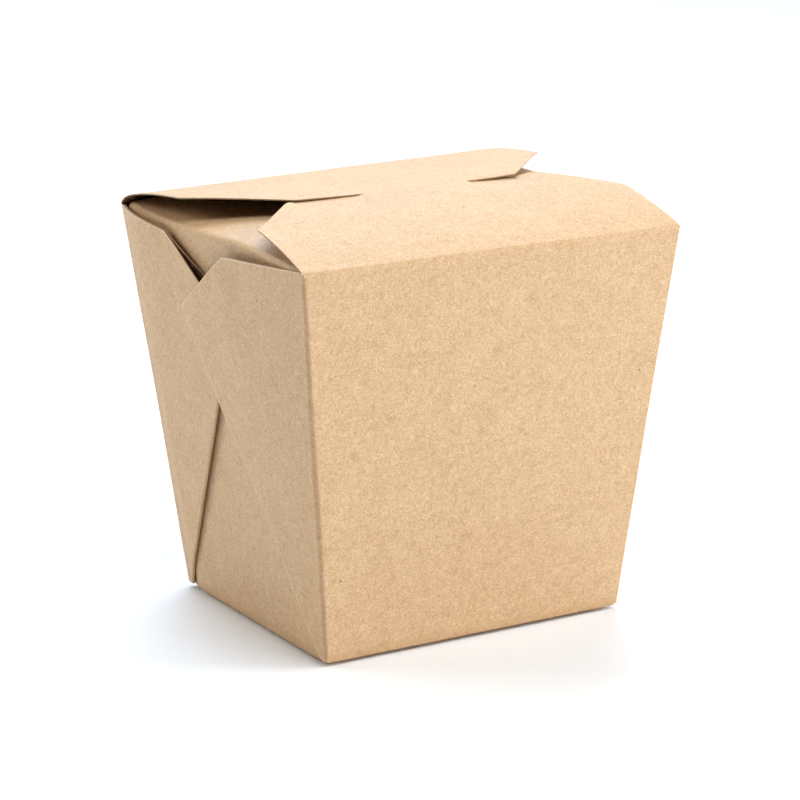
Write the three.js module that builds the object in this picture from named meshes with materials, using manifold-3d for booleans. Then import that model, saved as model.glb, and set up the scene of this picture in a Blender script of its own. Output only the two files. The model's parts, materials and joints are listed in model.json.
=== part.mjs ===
// A noodle takeaway box of kraft board, shut, in millimetres, +Z up.
// The box is one folded blank, so it is one solid: a tapered body, the side
// flaps that close its mouth, the front and rear lid flaps bent over them, and
// on each side wall a folded web from the rear wall under a single wing from
// the front wall.  X runs across the front wall and Y runs from front to rear.
// The origin is the middle of the base.

import * as THREE from 'three';
import { mergeVertices } from 'three/addons/utils/BufferGeometryUtils.js';
import Module from 'manifold-3d';

const wasm = await Module();
wasm.setup();

// Body
const BODY_HEIGHT = 100;
const TOP_WIDTH = 105;
const TOP_DEPTH = 96;
const BASE_WIDTH = 84;
const BASE_DEPTH = 74;

// Board and folds
const BOARD = 0.5;
const WALL_FOLD_RADIUS = 1.2;
const BASE_FOLD_RADIUS = 0.5;
const HINGE_FOLD_RADIUS = 1.2;
const HINGE_CORNER = 0.8;
const CREASE_RADIUS = 1.6;
const BURIED = 1.5;
const FUSED = 0.05;

// Side flaps that close the mouth, bowed up between the two hinges
const CREASE_HEIGHT = 100.6;
const CREASE_BOW = 1.3;
const CREASE_BOW_CENTRE = -17;
const CREASE_BOW_REACH = 28;
const OPENING_INNER_X = 22;

// Front lid flap: a short step up from the hinge and a long rise, both a
// little different at the two ends, and its outline
const FRONT_STEP = 0.7;
const FRONT_STEP_TILT = -0.7;
const FRONT_STEP_LENGTH = 1;
const FRONT_RISE = 9.5;
const FRONT_RISE_TILT = 1.2;
const FRONT_RISE_LENGTH = 29;
const FRONT_TIP = [51.6, -24.6];
const FRONT_CHAMFER_END = [22, 5];
const FRONT_END = [20, 8];

// Rear lid flap: it lies over the front flap at its two shoulders, and the
// tongue between them dips through a slit in the front flap
const REAR_STEP = 2.35;
const REAR_STEP_TILT = 0.5;
const REAR_STEP_LENGTH = 1.7;
const REAR_RISE = 6.6;
const REAR_RISE_TILT = -0.3;
const REAR_RISE_LENGTH = 23;
const REAR_TIP = [52.1, 16.1];
const REAR_INNER_CORNER = [31.6, -5.5];
const SLIT_END = [14.1, -9.5];
const TONGUE_END_Y = -15;
const TONGUE_DIP = 1.7;
const TONGUE_DIP_START = 6.5;
const TONGUE_DIP_RUN = 11;
const LID_GAP = 0.3;

// Webs and wings, as distance from their own wall's fold and height
const WEB_FOLD_FOOT = 2.2;
const WEB_FOLD_SLOPE = 1.5;
const WEB_TIP_HEIGHT = 80;
const WEB_TOP_CORNER = [26.4, 97.8];
const WEB_LAYER_STEP = 1.2;
const WEB_THICKNESS = 1.2;
const WEB_BULGE = 1;
const WEB_BULGE_PLACE = 14;
const WEB_BULGE_REACH = 10;
const WING_TIP = [61, 80.2];
const WING_TOP_CORNER = [36.8, 97.3];
const WING_FOOT = 1.9;
const WING_LIFT = 1.3;
const WING_LIFT_START_HEIGHT = 30;
const WING_LIFT_RUN = 35;
const WING_LIFT_WIDTH = 30;
const LAYER_ONSET = 8;
const BULGE_ONSET = 4;

const KRAFT = 0xdcb78f;

const halfTopDepth = TOP_DEPTH / 2;
const halfTopWidth = TOP_WIDTH / 2;

function halfWidth(z) {
  return (BASE_WIDTH + ((TOP_WIDTH - BASE_WIDTH) * z) / BODY_HEIGHT) / 2;
}

function halfDepth(z) {
  return (BASE_DEPTH + ((TOP_DEPTH - BASE_DEPTH) * z) / BODY_HEIGHT) / 2;
}

// 0 up to nought, 1 from one on, smooth between
function ease(t) {
  return THREE.MathUtils.smoothstep(t, 0, 1);
}

function bump(t) {
  return Math.exp(-t * t);
}

// How much a rounded edge lies below its sharp corner, at a distance from it
function foldDrop(distance, radius) {
  const inside = Math.max(0, radius - Math.max(0, distance));
  return radius - Math.sqrt(radius * radius - inside * inside);
}

// ---------------------------------------------------------------- heights

// How far a lid flap stands over its hinge, at a distance from the hinge
function flapRise(x, run, step, stepTilt, stepLength, rise, riseTilt, riseLength) {
  const across = x / halfTopWidth;
  const short = (step + stepTilt * across) * (1 - Math.exp(-run / stepLength));
  const long = (rise + riseTilt * across) * (1 - Math.exp(-run / riseLength));
  return short + long - foldDrop(run, HINGE_FOLD_RADIUS);
}

function tongueDip(x, y) {
  const along = ease((SLIT_END[1] + TONGUE_DIP_START - y) / TONGUE_DIP_RUN);
  const across = ease((SLIT_END[0] + 2 - Math.abs(x)) / 2);
  return TONGUE_DIP * along * across;
}

function rearFlapTop(x, y) {
  const run = Math.max(0, halfTopDepth - y);
  const step = [REAR_STEP, REAR_STEP_TILT, REAR_STEP_LENGTH];
  const rise = [REAR_RISE, REAR_RISE_TILT, REAR_RISE_LENGTH];
  return BODY_HEIGHT + flapRise(x, run, ...step, ...rise) - tongueDip(x, y);
}

// The line of the rear flap's shoulders: past it the front flap lies below
function shoulderY(x) {
  const out = (Math.abs(x) - SLIT_END[0]) / (REAR_INNER_CORNER[0] - SLIT_END[0]);
  const share = THREE.MathUtils.clamp(out, 0, 1);
  return THREE.MathUtils.lerp(SLIT_END[1], REAR_INNER_CORNER[1], share);
}

function frontFlapTop(x, y) {
  const run = Math.max(0, y + halfTopDepth);
  const step = [FRONT_STEP, FRONT_STEP_TILT, FRONT_STEP_LENGTH];
  const rise = [FRONT_RISE, FRONT_RISE_TILT, FRONT_RISE_LENGTH];
  const free = BODY_HEIGHT + flapRise(x, run, ...step, ...rise);
  if (y <= shoulderY(x)) return free;
  return Math.min(free, rearFlapTop(x, y) - BOARD - LID_GAP);
}

function sideFlapTop(x, y) {
  const bow = CREASE_BOW * bump((y - CREASE_BOW_CENTRE) / CREASE_BOW_REACH);
  const edge = halfWidth(CREASE_HEIGHT) - Math.abs(x);
  return CREASE_HEIGHT + bow - foldDrop(edge, CREASE_RADIUS);
}

// The top of the body: the side flaps beside the opening, and the filled
// middle up to half the thickness of whichever lid flap lies on top
function bodyTop(x, y) {
  const lid = (y <= shoulderY(x) ? frontFlapTop(x, y) : rearFlapTop(x, y)) - BOARD / 2;
  return Math.abs(x) <= OPENING_INNER_X ? lid : Math.min(lid, sideFlapTop(x, y));
}

// How far a layer stands off the side wall, at a distance from its wall's fold:
// it leaves the fold gently, and starts a hair inside the wall so that it fuses
function layer(thickness, run) {
  return thickness * ease(run / LAYER_ONSET) - FUSED;
}

function webOuter(run, z) {
  const bulge = WEB_BULGE * bump((run - WEB_BULGE_PLACE) / WEB_BULGE_REACH);
  return layer(WEB_THICKNESS, run) + bulge * (z / BODY_HEIGHT) ** 3 * ease(run / BULGE_ONSET);
}

function webInner(run) {
  return layer(BOARD, run);
}

function wingOuter(run, z) {
  const lift = WING_LIFT * ease((z - WING_LIFT_START_HEIGHT) / WING_LIFT_RUN);
  return layer(BOARD, run) + lift * ease(run / WING_LIFT_WIDTH);
}

// ---------------------------------------------------------------- solids

function signedVolume(position, index) {
  const a = new THREE.Vector3();
  const b = new THREE.Vector3();
  const c = new THREE.Vector3();
  let volume = 0;
  for (let i = 0; i < index.length; i += 3) {
    a.fromBufferAttribute(position, index[i]);
    b.fromBufferAttribute(position, index[i + 1]);
    c.fromBufferAttribute(position, index[i + 2]);
    volume += a.dot(b.cross(c)) / 6;
  }
  return volume;
}

// Makes a closed geometry a solid, and turns it right side out if it is not
function solid(geometry) {
  geometry.deleteAttribute('normal');
  geometry.deleteAttribute('uv');
  const merged = mergeVertices(geometry);
  const index = Array.from(merged.index.array);
  if (signedVolume(merged.attributes.position, index) < 0) index.reverse();
  return new wasm.Manifold(
    new wasm.Mesh({
      numProp: 3,
      vertProperties: Float32Array.from(merged.attributes.position.array),
      triVerts: Uint32Array.from(index),
    }),
  );
}

function stations(from, to, count) {
  return Array.from({ length: count + 1 }, (_, i) => THREE.MathUtils.lerp(from, to, i / count));
}

function mirrored(values) {
  return [...values.map((value) => -value).reverse(), ...values];
}

// A sheet over a grid of stations, between two height functions; place puts a
// point of the grid and its height into space
function sheet(us, vs, low, high, place) {
  const [nu, nv] = [us.length - 1, vs.length - 1];
  const geometry = new THREE.BoxGeometry(1, 1, 1, nu, nv, 1);
  const position = geometry.attributes.position;
  for (let i = 0; i < position.count; i += 1) {
    const u = us[Math.round((position.getX(i) + 0.5) * nu)];
    const v = vs[Math.round((position.getY(i) + 0.5) * nv)];
    const height = position.getZ(i) > 0 ? high(u, v) : low(u, v);
    position.setXYZ(i, ...place(u, v, height));
  }
  return solid(geometry);
}

function polygon(points) {
  return new THREE.Shape(points.map(([a, b]) => new THREE.Vector2(a, b)));
}

// A straight prism over an outline in X and Y
function planPrism(outline) {
  const depth = 40;
  const geometry = new THREE.ExtrudeGeometry(polygon(outline), { depth, bevelEnabled: false });
  return solid(geometry.translate(0, 0, BODY_HEIGHT - depth / 2));
}

// A straight prism along X over an outline in Y and Z
function sidePrism(outline) {
  const depth = TOP_WIDTH * 2;
  const geometry = new THREE.ExtrudeGeometry(polygon(outline), { depth, bevelEnabled: false });
  geometry.translate(0, 0, -depth / 2);
  const turn = new THREE.Matrix4().makeBasis(
    new THREE.Vector3(0, 1, 0),
    new THREE.Vector3(0, 0, 1),
    new THREE.Vector3(1, 0, 0),
  );
  return solid(geometry.applyMatrix4(turn));
}

// ---------------------------------------------------------------- pieces

function roundedRectangle(width, depth, radius) {
  const [w, d] = [width / 2 - radius, depth / 2 - radius];
  const shape = new THREE.Shape();
  shape.absarc(w, d, radius, 0, Math.PI / 2);
  shape.absarc(-w, d, radius, Math.PI / 2, Math.PI);
  shape.absarc(-w, -d, radius, Math.PI, Math.PI * 1.5);
  shape.absarc(w, -d, radius, Math.PI * 1.5, Math.PI * 2);
  return shape;
}

// The four walls and the base, drawn up past the mouth for bodyTop to cut
function walls() {
  const spare = 12;
  const geometry = new THREE.ExtrudeGeometry(
    roundedRectangle(BASE_WIDTH, BASE_DEPTH, WALL_FOLD_RADIUS),
    {
      depth: BODY_HEIGHT + spare,
      curveSegments: 4,
      bevelThickness: BASE_FOLD_RADIUS,
      bevelSize: BASE_FOLD_RADIUS,
      bevelOffset: -BASE_FOLD_RADIUS,
      bevelSegments: 3,
    },
  );
  geometry.translate(0, 0, BASE_FOLD_RADIUS);
  const position = geometry.attributes.position;
  for (let i = 0; i < position.count; i += 1) {
    const z = position.getZ(i);
    const x = (position.getX(i) * halfWidth(z)) / halfWidth(0);
    const y = (position.getY(i) * halfDepth(z)) / halfDepth(0);
    position.setXYZ(i, x, y, z);
  }
  return solid(geometry);
}

const acrossLid = mirrored([0, 7, 12, SLIT_END[0], 16, 22, 30, 38, 46, halfTopWidth + 0.5]);
acrossLid.splice(acrossLid.length / 2 - 1, 1);

const hingeSteps = [0, 0.3, 0.7, HINGE_FOLD_RADIUS, 2.5, 5, 9, 14, 20, 27, 34];

function body() {
  const outside = 70;
  const edge = halfWidth(CREASE_HEIGHT);
  const sideSteps = [0, 7, SLIT_END[0], 16, OPENING_INNER_X, OPENING_INNER_X + 0.5, 34, 44];
  const creaseSteps = [CREASE_RADIUS, 0.8, 0.3, 0].map((step) => edge - step);
  const across = mirrored([...sideSteps, ...creaseSteps, outside]);
  across.splice(across.length / 2 - 1, 1);
  const fromFront = hingeSteps.map((step) => -halfTopDepth + step);
  const fromRear = hingeSteps.map((step) => halfTopDepth - step).reverse();
  const slit = [SLIT_END[1], SLIT_END[1] + 0.2, -4, 4];
  const along = [-outside, ...fromFront, ...slit, ...fromRear, outside];
  const below = sheet(across, along, () => -1, bodyTop, (x, y, z) => [x, y, z]);
  return walls().intersect(below);
}

function mirroredOutline(half) {
  return [...half, ...half.map(([x, y]) => [-x, y]).reverse()];
}

function frontFlap() {
  const slit = halfTopDepth + SLIT_END[1];
  const ys = [...hingeSteps, slit, slit + 0.2, 44, 50, 57].map((step) => step - halfTopDepth);
  const under = (x, y) => frontFlapTop(x, y) - BOARD;
  const flap = sheet(acrossLid, ys, under, frontFlapTop, (x, y, z) => [x, y, z]);
  const corner = [
    [halfTopWidth - HINGE_CORNER, -halfTopDepth - 1],
    [halfTopWidth - HINGE_CORNER, -halfTopDepth],
    [halfTopWidth, -halfTopDepth + HINGE_CORNER],
  ];
  const outline = [...corner, FRONT_TIP, FRONT_CHAMFER_END, FRONT_END];
  return flap.intersect(planPrism(mirroredOutline(outline)));
}

function rearFlap() {
  const middle = [-3, -6, SLIT_END[1], -12, TONGUE_END_Y];
  const ys = [...hingeSteps.map((step) => halfTopDepth - step), 6, 1, ...middle];
  const under = (x, y) => rearFlapTop(x, y) - BOARD;
  const flap = sheet(acrossLid, ys, under, rearFlapTop, (x, y, z) => [x, y, z]);
  const corner = [
    [halfTopWidth - HINGE_CORNER, halfTopDepth + 1],
    [halfTopWidth - HINGE_CORNER, halfTopDepth],
    [halfTopWidth, halfTopDepth - HINGE_CORNER],
  ];
  const tongue = [
    [SLIT_END[0] - 0.6, SLIT_END[1]],
    [SLIT_END[0] - 2, TONGUE_END_Y + 0.5],
  ];
  const outline = [...corner, REAR_TIP, REAR_INNER_CORNER, SLIT_END, ...tongue];
  return flap.intersect(planPrism(mirroredOutline(outline)));
}

// Puts a point of a side wall into space: side is -1 or 1 along X, end is -1
// where the distance runs from the front fold and 1 from the rear fold
function onSideWall(side, end) {
  return (run, z, out) => [side * (halfWidth(z) + out), end * (halfDepth(z) - run), z];
}

function sidePlate(side, end, outer, outline) {
  const runs = [WALL_FOLD_RADIUS, 4, 6, 9, 13, 18, 24, 32, 44, 66];
  const heights = stations(BASE_FOLD_RADIUS, BODY_HEIGHT, 9);
  const place = onSideWall(side, end);
  const plate = sheet(runs, heights, () => -BURIED, outer, place);
  const flat = outline.map(([run, z]) => place(run, z, 0).slice(1));
  return plate.intersect(sidePrism(flat));
}

// The rear web's two layers: the inner one shows as a step past the chamfer
function web(side) {
  const foldAt = (z) => WEB_FOLD_FOOT + z / WEB_FOLD_SLOPE;
  const foot = [foldAt(0), 0];
  const tip = [foldAt(WEB_TIP_HEIGHT), WEB_TIP_HEIGHT];
  const fold = [[0, -1], foot, tip];
  const top = [0, BODY_HEIGHT];
  const outer = [...fold, WEB_TOP_CORNER, top];
  const innerCorner = [WEB_TOP_CORNER[0] + WEB_LAYER_STEP, WEB_TOP_CORNER[1]];
  const innerTip = [tip[0] + WEB_LAYER_STEP, tip[1] + WEB_LAYER_STEP];
  const inner = [...fold, innerTip, innerCorner, top];
  return sidePlate(side, 1, webOuter, outer).add(sidePlate(side, 1, webInner, inner));
}

function wing(side) {
  const outline = [[0, -1], [WING_FOOT, 0], WING_TIP, WING_TOP_CORNER, [0, BODY_HEIGHT]];
  return sidePlate(side, -1, wingOuter, outline);
}

// ---------------------------------------------------------------- the part

let carton = body().add(frontFlap()).add(rearFlap());
for (const side of [-1, 1]) {
  carton = carton.add(web(side)).add(wing(side));
}

const result = carton.getMesh();
const geometry = new THREE.BufferGeometry();
geometry.setAttribute('position', new THREE.BufferAttribute(result.vertProperties, 3));
geometry.setIndex(new THREE.BufferAttribute(result.triVerts, 1));
geometry.computeVertexNormals();

const kraftBoard = new THREE.MeshStandardMaterial({ color: KRAFT, roughness: 0.85, metalness: 0 });
const box = new THREE.Mesh(geometry, kraftBoard);
box.name = 'carton';

const group = new THREE.Group();
group.add(box);

export default group;
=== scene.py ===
"""A shut noodle takeaway box of kraft board, as a small add-on.

The box is one folded blank, so it is one sheet of board: the base, the front
and rear walls with their lid flaps, the wings and the doubled webs on the two
side walls, and the side panels with their side flaps.  Each part of the sheet
is added by an operator of its own, and one more joins them along their folds
and gives the board its thickness.  Lengths are in metres, +Z is up, X runs
across the front wall and Y from the front wall to the rear wall.
"""

import json
import math
from functools import partial

import bmesh
import bpy
from mathutils import Matrix, Vector, kdtree, noise

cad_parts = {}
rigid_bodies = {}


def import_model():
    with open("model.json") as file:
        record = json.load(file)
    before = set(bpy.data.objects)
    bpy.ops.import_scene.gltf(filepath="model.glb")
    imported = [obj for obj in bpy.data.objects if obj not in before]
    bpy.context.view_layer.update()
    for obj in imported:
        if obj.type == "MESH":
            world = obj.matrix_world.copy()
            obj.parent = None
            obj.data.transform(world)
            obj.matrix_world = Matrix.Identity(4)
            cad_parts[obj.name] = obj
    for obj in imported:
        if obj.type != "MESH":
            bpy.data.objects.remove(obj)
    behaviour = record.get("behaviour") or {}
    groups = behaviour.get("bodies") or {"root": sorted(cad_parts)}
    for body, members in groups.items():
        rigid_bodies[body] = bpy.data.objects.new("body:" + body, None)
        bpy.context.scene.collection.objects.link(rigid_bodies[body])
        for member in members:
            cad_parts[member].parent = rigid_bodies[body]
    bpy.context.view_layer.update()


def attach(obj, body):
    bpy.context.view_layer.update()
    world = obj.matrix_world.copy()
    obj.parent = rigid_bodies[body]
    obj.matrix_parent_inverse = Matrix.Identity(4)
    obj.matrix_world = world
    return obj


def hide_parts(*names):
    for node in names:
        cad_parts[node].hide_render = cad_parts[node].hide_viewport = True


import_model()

bl_info = {
    "name": "Noodle Takeaway Box",
    "version": (1, 0, 0),
    "blender": (4, 5, 0),
    "location": "View3D > Sidebar > Takeaway Box",
    "description": "Folds a shut noodle takeaway box from one blank of kraft board",
    "category": "Add Mesh",
}

CARTON_NODE = "carton"
BODY_NAME = "root"
SHEET_TAG = "blank_sheet"
FOLD_ATTRIBUTE = "fold"
CUT_ATTRIBUTE = "cut_distance"
PART_ATTRIBUTE = "part"

SIDES = (-1, 1)
FRONT = -1
REAR = 1
MM = 0.001
HAIR = 0.1 * MM
UP = Vector((0, 0, 1))

# Columns and rows of the sheet's parts: how many steps, or how long one is
COLUMN_SIZES = (2.2 * MM, 0.4 * MM, 1.2 * MM, 2.2 * MM, 2.2 * MM, 0.5 * MM)
ALONG_STEPS = 44
ROW_SIZE = 2.5 * MM
LID_ROW_SIZE = 2.0 * MM
MOUTH_ROWS = (-0.4 * MM, 0.0, 0.3 * MM)
UPRIGHT_FOLD_STEPS = 8
HINGE_FOLD_STEPS = 8
HINGE_FOLD_MORE = (1.3, 1.7, 2.3, 3.1)
BASE_FOLD_STEPS = 5
WEB_FOLD_STEPS = 10
CREASE_STEPS = 10
PANEL_STEPS = 38
SIDE_FLAP_STEPS = 24
FRONT_END_STEPS = 9

# The share of a row's half width up to which its columns are even
EVEN_SHARE = 0.62
# The share of the height from which the front wall follows its crease up or down
FOLLOW_START = 0.7
# Where along X the front crease starts to drop, and over what distance
CREASE_DROP_START = 3 * MM
CREASE_DROP_RUN = 22 * MM
# Where the sprung tips of a web and a wing come back, past where they are full
TIP_HOLD = 8 * MM
TIP_FADE = 12 * MM
# Air between a side flap and the lid, and the room it leaves beside the tongue
SIDE_FLAP_AIR = 0.15 * MM
TONGUE_ROOM = 2 * MM
# The share of the slit's end from which the rear flap's shoulders droop
DROOP_START = 0.6
# Where a lid flap's rows start to swing towards the line of the shoulders
SWING_START = 5 * MM
# The step from the rear flap down to its tongue is made over this distance,
# and the front flap's two lips at the slit stand twice as far apart
TONGUE_STEP = 0.01 * MM
# Over this height a side panel goes over from the base's edge to the wall's form
PANEL_BLEND = 6 * MM

# Vertices of two parts of the sheet that lie nearer than this are one
MERGE_DISTANCE = 0.002 * MM
SMOOTH_ANGLE = math.radians(40)
# The shade painted along the folds is full up to this fold radius, and less round the mouth
FULL_FOLD_RADIUS = 0.9 * MM
MOUTH_FOLD_SHARE = 0.25
MOUTH_FADE_START = 4 * MM
MOUTH_FADE_RUN = 3 * MM
# How far from a cut its distance is stored, and how closely cuts are sampled
CUT_REACH = 6 * MM
CUT_SAMPLE = 0.3 * MM
# The height from which the board wavers in full, and the seed of the noise that it follows
WAVER_START = 12 * MM
WAVER_SEED = 1
# The share of the base that rests on the ground
RESTING_SHARE = 0.55

# How strongly the grain's light and dark change red, green and blue
SHADE_POWERS = (0.72, 1.09, 1.41)
FIBRE_SHARE = 0.4
SPECK_SHARE = 0.7
BUMP_STRENGTH = 0.45
BUMP_DISTANCE = 0.06 * MM
BOARD_IOR = 1.5
# The floor lies a little lower than the box, so that a thin dark line shows under it
FLOOR_GAP = 0.8 * MM
FLOOR_RADIUS = 6.0
FLOOR_ROUGHNESS = 0.75
WORLD_LIGHT = 0.02
BACKDROP_LIGHT = 1.1
SENSOR_WIDTH = 36.0
CLIP_END = 20.0


# ------------------------------------------------------------------ settings


def length(name, description, default):
    """A size in the panel, in metres."""
    return bpy.props.FloatProperty(
        name=name, description=description, default=default, unit="LENGTH", precision=5)


def length_pair(name, description, default):
    """A pair of sizes in the panel, in metres."""
    return bpy.props.FloatVectorProperty(
        name=name, description=description, default=default, size=2, unit="LENGTH", precision=5)


def ratio(name, description, default):
    """A plain number in the panel."""
    return bpy.props.FloatProperty(name=name, description=description, default=default)


def degrees(name, description, default):
    """An angle in the panel, given here in degrees."""
    return bpy.props.FloatProperty(
        name=name, description=description, default=math.radians(default), subtype="ANGLE")


def tint(name, description, default):
    """A colour in the panel, as linear red, green and blue."""
    return bpy.props.FloatVectorProperty(
        name=name, description=description, default=default, size=3,
        min=0.0, max=1.0, subtype="COLOR")


class TakeawayBodySizes(bpy.types.PropertyGroup):
    """The tapered body and the folds of its board"""

    height: length("Height", "From the base to the mouth", 0.100)
    top_width: length("Top Width", "Across the front wall at the mouth", 0.1056)
    top_depth: length("Top Depth", "From front to rear at the mouth", 0.0966)
    base_width: length("Base Width", "Across the front wall at the base", 0.0845)
    base_depth: length("Base Depth", "From front to rear at the base", 0.0741)
    board: length("Board", "Thickness of the kraft board", 0.00033)
    fold_radius: length("Fold Radius", "Radius of an upright fold half way up", 0.0011)
    corner_radius: length("Corner Radius", "Radius of an upright fold at its two ends", 0.0006)
    base_radius: length("Base Radius", "Radius of the folds round the base", 0.0005)
    hinge_radius: length("Hinge Radius", "Radius of the lid flaps' hinge folds", 0.0008)
    settle: length("Settle", "How far the base's edges stand off the ground", 0.0002)
    settle_height: length("Settle Height", "Height over which the walls take that up", 0.012)
    warp: length("Warp", "How far the board wavers from a true surface", 0.00014)
    warp_size: length("Warp Size", "Length of one waver in the board", 0.034)


class TakeawaySideSizes(bpy.types.PropertyGroup):
    """The side panels, their side flaps and the layers folded over them"""

    crease_height: length("Crease Height", "Height of a side flap's crease at its ends", 0.1001)
    crease_bow: length_pair(
        "Crease Bow", "How far the left and the right crease bow up", (0.00145, 0.0024))
    bow_centre: length_pair("Bow Centre", "Where along Y each crease is highest", (-0.019, 0.018))
    crease_upturn: length("Crease Upturn", "How far the crease turns up at its rear end", 0.0009)
    upturn_reach: length("Upturn Reach", "Distance over which it turns up", 0.010)
    bow_reach: length("Bow Reach", "How far the bow reaches along the crease", 0.027)
    crease_radius: length("Crease Radius", "Radius of the side flap's crease", 0.0015)
    flap_spring: length("Flap Spring", "How far a side flap springs up behind its crease", 0.0032)
    flap_spring_reach: length("Spring Reach", "Distance over which it springs up", 0.015)
    flap_inner_x: length("Flap Inner X", "How near to the middle a side flap reaches", 0.014)
    flap_taper: ratio("Flap Taper", "How fast a side flap narrows inwards", 0.2)
    front_margin: length("Front Margin", "From the front fold to the side panel", 0.0015)
    rear_margin: length("Rear Margin", "From the rear fold to the side panel", 0.0020)
    front_inset: length("Front Inset", "How far the panel sinks under the wing's fold", 0.0005)
    rear_inset: length("Rear Inset", "How far the panel sinks under the web's fold", 0.0010)
    panel_sag: length("Panel Sag", "How far the panel sinks in away from the base", 0.0003)
    sag_height: length("Sag Height", "Height over which it sinks", 0.045)
    sag_reach: length("Sag Reach", "Distance from the front fold over which it sinks", 0.030)
    panel_hollow: length("Panel Hollow", "How much further it sinks below the crease", 0.0012)
    hollow_height: length("Hollow Height", "Where that is deepest", 0.086)
    hollow_reach: length("Hollow Reach", "How far it reaches up and down", 0.012)
    onset: length("Onset", "Distance over which a layer leaves its fold", 0.008)
    wing_foot: length("Wing Foot", "Width of the wing at the base", 0.0019)
    wing_tip: length_pair("Wing Tip", "Distance from the fold and height", (0.061, 0.0802))
    wing_top: length_pair("Wing Top", "Distance from the fold and height", (0.0368, 0.0973))
    wing_step: length("Wing Step", "How far the wing stands off the side panel", 0.00036)
    wing_lift: length("Wing Lift", "How much further the webs push the wing out", 0.0015)
    wing_lift_start: length("Lift Start", "Height at which the wing starts to lift", 0.030)
    wing_lift_run: length("Lift Run", "Height over which the wing lifts", 0.035)
    wing_lift_width: length("Lift Width", "Distance from the fold over which it lifts", 0.030)
    tip_lift: length(
        "Tip Lift", "How far the web and the wing spring out near their tips", 0.0008)
    tip_lift_start: length("Tip Lift Start", "Height at which they start to", 0.064)
    tip_lift_run: length("Tip Lift Run", "Height over which they do", 0.020)
    tip_lift_reach: length_pair(
        "Tip Lift Reach", "Distances from the rear fold where it starts and is full", (0.022, 0.046))
    web_foot: length("Web Foot", "Width of the web at the base", 0.0022)
    web_slope: ratio("Web Slope", "Height gained for each width of the web's fold", 1.5)
    web_tip_height: length("Web Tip Height", "Height at which the web's fold ends", 0.080)
    web_top: length_pair("Web Top", "Distance from the fold and height", (0.0264, 0.0978))
    web_step: length("Web Step", "How far the doubled web stands off the panel", 0.0010)
    web_gap: length("Web Gap", "Air between the web's two layers at its fold", 0.0001)
    web_rest: length("Web Rest", "How far the inner layer stands off the panel", 0.0003)
    web_puff: length("Web Puff", "How far the web's fold stands out half way up", 0.0003)
    puff_reach: length("Puff Reach", "How far from its fold the web stands out", 0.012)
    web_turn_depth: ratio("Turn Depth", "How long the turn of the web's fold is for its height", 1.2)
    web_slip: length("Web Slip", "How far the inner layer shows past the outer one", 0.0003)
    spread_start: length("Spread Start", "Height at which the web's layers part near the tip", 0.066)
    spread_run: length("Spread Run", "Height over which they part", 0.012)
    spread_reach: length_pair(
        "Spread Reach", "Distances from the rear fold where they part and rest", (0.025, 0.043))
    tight_reach: length(
        "Tight Reach", "Distance from the fold over which the layers part lower down", 0.010)
    web_bulge: length("Web Bulge", "How far the web's top edge springs out", 0.001)
    web_bulge_place: length("Bulge Place", "Distance of the bulge from the fold", 0.014)
    web_bulge_reach: length("Bulge Reach", "How far the bulge reaches", 0.010)
    bulge_onset: length("Bulge Onset", "Distance from the fold over which it starts", 0.004)


class TakeawayLidSizes(bpy.types.PropertyGroup):
    """The two lid flaps, the slit and the tongue that locks them"""

    front_crease: length(
        "Front Crease", "How far the front flap's crease lies under the mouth", 0.00042)
    front_crease_drop: length("Crease Drop", "How far it drops on the right", 0.00038)
    front_crease_turn: length("Crease Turn", "How far it turns up at its left end", 0.00055)
    turn_reach: length("Turn Reach", "Distance over which it turns up", 0.0045)
    front_rise: length("Front Rise", "Rise of the front flap", 0.0126)
    front_rise_tilt: length("Front Rise Tilt", "Its change from middle to end", 0.0008)
    front_rise_length: length("Front Rise Length", "Distance over which it is made", 0.034)
    front_tip: length_pair("Front Tip", "X and Y of the front flap's tip", (0.0516, -0.0246))
    front_chamfer: length_pair("Front Chamfer", "X and Y where its chamfer ends", (0.022, 0.005))
    front_end_y: length("Front End", "Y of the front flap's hidden end", 0.008)
    rear_step: length("Rear Step", "Short rise at the rear hinge", 0.00235)
    rear_step_tilt: length("Rear Step Tilt", "Its change from middle to end", 0.0005)
    rear_step_length: length("Rear Step Length", "Distance over which it is made", 0.0017)
    rear_rise: length("Rear Rise", "Long rise of the rear flap", 0.0064)
    rear_rise_tilt: length("Rear Rise Tilt", "Its change from middle to end", -0.0003)
    rear_rise_length: length("Rear Rise Length", "Distance over which it is made", 0.023)
    droop: length_pair(
        "Droop", "How far the left and the right shoulder droop at their ends", (0.00030, 0.00072))
    droop_reach: length("Droop Reach", "Distance behind the shoulders over which they do", 0.026)
    rear_tip: length_pair("Rear Tip", "X and Y of the rear flap's tip", (0.0521, 0.0161))
    rear_corner: length_pair("Rear Corner", "X and Y of its inner corner", (0.0316, -0.0055))
    slit_end: length_pair("Slit End", "X and Y of the slit's end", (0.0141, -0.0095))
    tongue_length: length("Tongue Length", "How far the tongue reaches past the slit", 0.0055)
    tongue_taper: ratio("Tongue Taper", "How fast the tongue narrows", 0.25)
    tongue_margin: length("Tongue Margin", "From the tongue's side to the slit's end", 0.0015)
    tongue_dive: length("Tongue Dive", "How far the tongue dives past the slit", 0.0016)
    slit_run: length("Slit Run", "How far the slit goes on under each shoulder", 0.0025)
    shoulder_gap: length_pair(
        "Shoulder Gap", "Air under the left and right shoulders' outer ends", (0.0004, 0.0008))
    slit_gap: length("Slit Gap", "Air between the flaps at the slit", 0.00002)
    press_reach: length("Press Reach", "How far before a shoulder the front flap is bent", 0.007)
    press_fade: length("Press Fade", "How far beside a shoulder the front flap is bent", 0.0025)
    hinge_corner: length("Hinge Corner", "How far a flap's side is set in at its hinge", 0.00005)
    corner_cut: length_pair(
        "Corner Cut", "Width and depth of the cut where the folds meet", (0.0006, 0.0003))


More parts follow.
